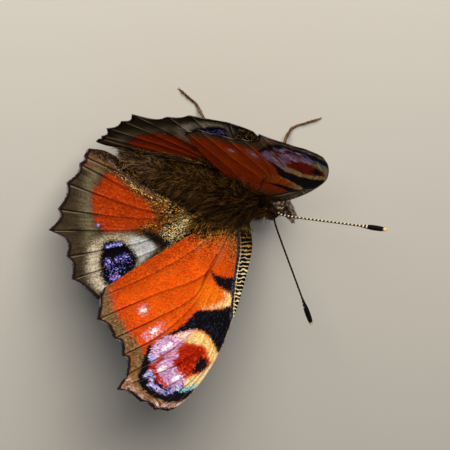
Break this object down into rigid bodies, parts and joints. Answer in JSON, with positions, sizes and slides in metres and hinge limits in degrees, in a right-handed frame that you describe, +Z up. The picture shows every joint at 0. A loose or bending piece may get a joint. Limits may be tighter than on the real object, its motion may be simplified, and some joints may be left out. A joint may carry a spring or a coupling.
{
  "type": "peacock butterfly",
  "caption": "Life-size model of a peacock butterfly standing on four legs with its wings half open.",
  "frame": {"origin": "on the floor, under the middle of the whole insect seen from above", "axes": "+X to the butterfly's left, head to -Y, +Z up from the floor"},
  "size_m": [0.0552, 0.0386, 0.0242],
  "materials": {
    "wing": "matt scales",
    "fur": "soft hair",
    "shell": "satin",
    "eye": "gloss"
  },
  "bodies": {
    "root": {"thorax": "fur", "abdomen": "fur", "head": "fur", "proboscis": "shell", "eye_left": "eye", "antenna_left": "shell", "palp_left": "fur", "foreleg_left": "shell", "midleg_femur_left": "shell", "midleg_tibia_left": "shell", "midleg_tarsus_left": "shell", "hindleg_femur_left": "shell", "hindleg_tibia_left": "shell", "hindleg_tarsus_left": "shell", "forewing_left": "wing", "hindwing_left": "wing", "eye_right": "eye", "antenna_right": "shell", "palp_right": "fur", "foreleg_right": "shell", "midleg_femur_right": "shell", "midleg_tibia_right": "shell", "midleg_tarsus_right": "shell", "hindleg_femur_right": "shell", "hindleg_tibia_right": "shell", "hindleg_tarsus_right": "shell", "forewing_right": "wing", "hindwing_right": "wing"}
  },
  "joints": []
}
